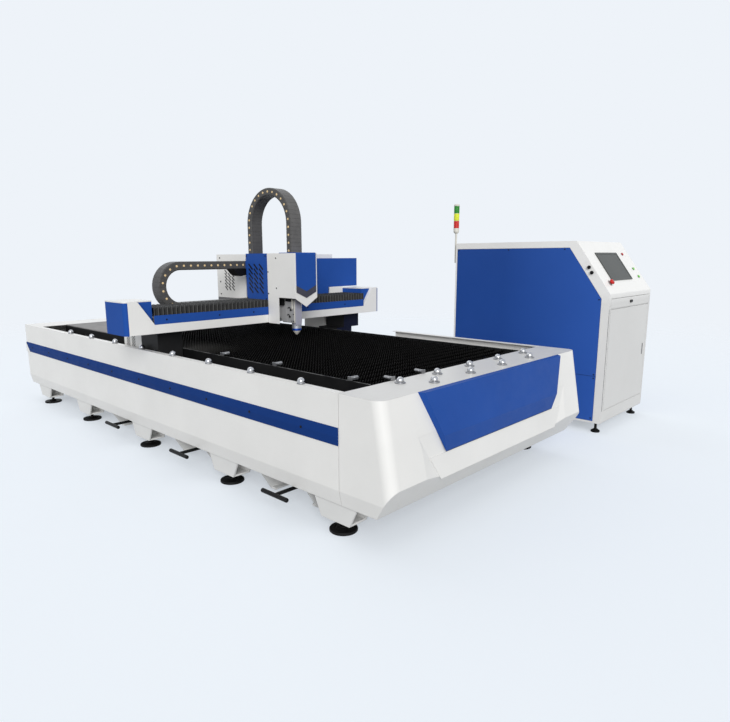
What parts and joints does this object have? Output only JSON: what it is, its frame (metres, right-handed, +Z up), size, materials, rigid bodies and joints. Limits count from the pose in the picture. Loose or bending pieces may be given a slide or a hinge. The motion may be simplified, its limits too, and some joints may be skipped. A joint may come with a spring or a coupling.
{
  "type": "fiber laser cutting machine",
  "caption": "Open-bed fiber laser cutting machine: long covered bed with a slatted table, moving gantry, cutting head, and a separate control cabinet with sloping console.",
  "frame": {"origin": "on the floor under the middle of the whole installation's bounding box", "axes": "+X across the bed from its near side to the cabinet, +Y along the bed away from the operator's end, +Z up"},
  "size_m": [3.9376, 4.943, 1.991],
  "materials": {
    "white": "satin powder coat",
    "blue": "satin powder coat",
    "frame_grey": "dull paint",
    "leg_grey": "dull paint",
    "dark": "satin black paint",
    "deck": "satin paint",
    "steel": "ground",
    "raw_steel": "hot-rolled, stained",
    "rubber_black": "black rubber and plastic",
    "frame_white": "satin powder coat",
    "chrome": "polished",
    "bellows": "coated fabric",
    "chain": "moulded",
    "aluminium": "satin",
    "ring_blue": "anodised",
    "copper": "turned",
    "glass_black": "gloss",
    "lamps": "coloured lenses",
    "red": "gloss",
    "green": "gloss",
    "tray_grey": "dull paint"
  },
  "bodies": {
    "bed": {"bed_frame": "frame_white", "levelling_feet": "rubber_black", "side_cover_left": "white", "side_cover_right": "white", "side_stripes": "blue", "front_cover": "white", "front_centre_panel": "white", "front_badge": "blue", "rear_cover": "white", "trough_walls": "dark", "y_rails": "steel", "y_racks": "steel", "slat_combs": "raw_steel", "slats": "raw_steel", "rear_deck": "deck", "ball_transfers": "chrome", "stop_pins": "steel", "cabinet_shell": "white", "side_panels": "blue", "panel_bolts": "rubber_black", "screen": "glass_black", "cabinet_feet": "rubber_black", "signal_tower": "lamps"},
    "gantry": {"gantry_beam": "frame_grey", "gantry_saddles": "leg_grey", "gantry_end_covers": "white", "gantry_end_liners": "blue", "beam_fascia_white": "white", "beam_fascia_blue": "blue", "x_rails": "steel", "bellows_left": "bellows", "bellows_right": "bellows", "y_motor_covers": "white", "rear_box": "white", "rear_box_cover": "blue", "x_chain_lower": "chain"},
    "y_pinion_left": {"y_pinion_left": "steel"},
    "y_pinion_right": {"y_pinion_right": "steel"},
    "x_chain_loop": {"x_chain_bend": "chain"},
    "carriage": {"carriage_saddle": "aluminium", "vent_cover": "blue", "head_cover": "white", "head_badge": "blue", "head_chevron": "dark", "z_chain": "chain", "x_chain_upper": "chain"},
    "z_screw": {"z_screw": "steel"},
    "z_axis": {"z_plate": "aluminium", "cutting_head": "aluminium", "head_ring": "ring_blue", "nozzle": "copper"},
    "scrap_drawer_1": {"scrap_drawer_1": "tray_grey"},
    "scrap_drawer_2": {"scrap_drawer_2": "tray_grey"},
    "scrap_drawer_3": {"scrap_drawer_3": "tray_grey"},
    "cabinet_door": {"cabinet_door": "white"},
    "keyboard_drawer": {"keyboard_drawer": "white"},
    "estop": {"estop": "red"},
    "button_red": {"button_red": "red"},
    "button_green_1": {"button_green_1": "green"},
    "button_green_2": {"button_green_2": "green"}
  },
  "joints": [
    {"name": "gantry_slide", "type": "slide", "parent": "bed", "child": "gantry", "axis": [0, 1, 0], "range_m": [-1.5, 1.5]},
    {"name": "y_pinion_left_spin", "type": "hinge", "parent": "gantry", "child": "y_pinion_left", "pos_m": [-1.53275, 0.1955, 0.712], "axis": [0, 0, 1], "range_deg": [-2700, 2700]},
    {"name": "y_pinion_right_spin", "type": "hinge", "parent": "gantry", "child": "y_pinion_right", "pos_m": [0.17325, 0.1955, 0.712], "axis": [0, 0, 1], "range_deg": [-2700, 2700]},
    {"name": "carriage_slide", "type": "slide", "parent": "gantry", "child": "carriage", "axis": [1, 0, 0], "range_m": [-0.75, 0.7], "deforming": ["bellows_left", "bellows_right", "x_chain_upper", "x_chain_lower"]},
    {"name": "chain_loop_slide", "type": "slide", "parent": "gantry", "child": "x_chain_loop", "axis": [1, 0, 0], "range_m": [-0.38, 0.36]},
    {"name": "z_slide", "type": "slide", "parent": "carriage", "child": "z_axis", "axis": [0, 0, 1], "range_m": [-0.045, 0.06], "deforming": ["z_chain"]},
    {"name": "z_screw_spin", "type": "hinge", "parent": "carriage", "child": "z_screw", "pos_m": [-0.63725, -0.3575, 1.44], "axis": [0, 0, 1], "range_deg": [-1650, 2200]},
    {"name": "scrap_drawer_1_slide", "type": "slide", "parent": "bed", "child": "scrap_drawer_1", "axis": [-1, 0, 0], "range_m": [0, 0.9]},
    {"name": "scrap_drawer_2_slide", "type": "slide", "parent": "bed", "child": "scrap_drawer_2", "axis": [-1, 0, 0], "range_m": [0, 0.9]},
    {"name": "scrap_drawer_3_slide", "type": "slide", "parent": "bed", "child": "scrap_drawer_3", "axis": [-1, 0, 0], "range_m": [0, 0.9]},
    {"name": "cabinet_door_hinge", "type": "hinge", "parent": "bed", "child": "cabinet_door", "pos_m": [1.06575, -2.3675, 0.193], "axis": [0, 0, -1], "range_deg": [0, 110]},
    {"name": "keyboard_drawer_slide", "type": "slide", "parent": "bed", "child": "keyboard_drawer", "axis": [0, -1, 0], "range_m": [0, 0.3]},
    {"name": "estop_press", "type": "slide", "parent": "bed", "child": "estop", "axis": [0, 0.8149, -0.5796], "range_m": [0, 0.0075], "stiffness_N_per_m": 900, "springref_m": -0.006},
    {"name": "button_red_press", "type": "slide", "parent": "bed", "child": "button_red", "axis": [0, 0.8149, -0.5796], "range_m": [0, 0.0035], "stiffness_N_per_m": 600, "springref_m": -0.005},
    {"name": "button_green_1_press", "type": "slide", "parent": "bed", "child": "button_green_1", "axis": [0, 0.8149, -0.5796], "range_m": [0, 0.0035], "stiffness_N_per_m": 600, "springref_m": -0.005},
    {"name": "button_green_2_press", "type": "slide", "parent": "bed", "child": "button_green_2", "axis": [0, 0.8149, -0.5796], "range_m": [0, 0.0035], "stiffness_N_per_m": 600, "springref_m": -0.005}
  ],
  "couplings": [
    {"joint": "chain_loop_slide", "follows": "carriage_slide", "ratio": 0.5},
    {"joint": "z_screw_spin", "follows": "z_slide", "rad_per_m": 628.32},
    {"joint": "y_pinion_left_spin", "follows": "gantry_slide", "rad_per_m": -31.25},
    {"joint": "y_pinion_right_spin", "follows": "gantry_slide", "rad_per_m": 31.25}
  ]
}
